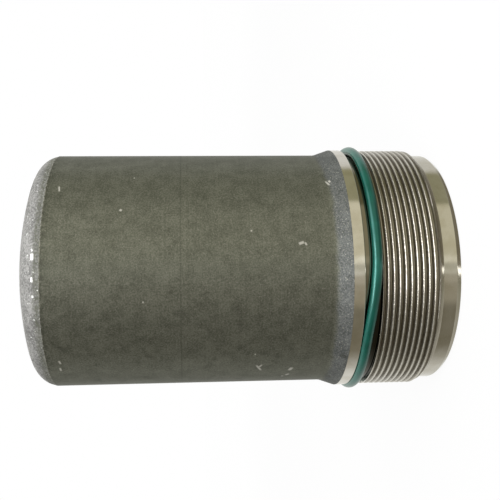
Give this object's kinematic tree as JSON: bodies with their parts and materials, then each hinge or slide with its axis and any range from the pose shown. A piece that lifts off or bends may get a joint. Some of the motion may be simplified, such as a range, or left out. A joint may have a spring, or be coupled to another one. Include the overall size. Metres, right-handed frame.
{
  "type": "piston accumulator for an automatic transmission",
  "caption": "Domed steel cup with a fine external thread at its mouth; a sliding piston inside parts the gas charge from the oil and stores pressure.",
  "frame": {"origin": "centre of the plain annular end face at the mouth, which it stands on", "axes": "+Z along the axis from the threaded mouth to the dome; X and Y are any two square directions across it"},
  "size_m": [0.0702, 0.0702, 0.1155],
  "materials": {
    "phosphated_steel": "dark phosphated body with a rough grey dome, bright turned at the threaded end",
    "teal_rubber": "smooth moulded rubber",
    "spring_steel": "dark oiled spring wire",
    "cover_steel": "fine turned",
    "black_rubber": "smooth moulded rubber",
    "white_sliding_plastic": "skived, waxy",
    "bronze_sliding_plastic": "turned, bronze filled",
    "guide_plastic": "turned, fabric filled",
    "piston_aluminium": "turned and hard anodised",
    "plug_steel": "plated, slightly dulled"
  },
  "bodies": {
    "housing": {"shell": "phosphated_steel", "external_o_ring": "teal_rubber", "retaining_ring": "spring_steel", "end_cover": "cover_steel", "end_cover_o_ring": "black_rubber", "end_cover_backup_ring": "white_sliding_plastic", "charge_plug": "plug_steel", "charge_plug_seal": "black_rubber"},
    "piston": {"piston": "piston_aluminium", "oil_side_guide_ring": "guide_plastic", "oil_side_seal_ring": "bronze_sliding_plastic", "oil_side_seal_energizer": "black_rubber", "gas_side_seal_ring": "bronze_sliding_plastic", "gas_side_seal_energizer": "black_rubber", "gas_side_guide_ring": "guide_plastic"}
  },
  "joints": [
    {"name": "piston_slide", "type": "slide", "parent": "housing", "child": "piston", "axis": [0, 0, 1], "range_m": [0, 0.057], "stiffness_N_per_m": 60, "springref_m": -0.05}
  ]
}
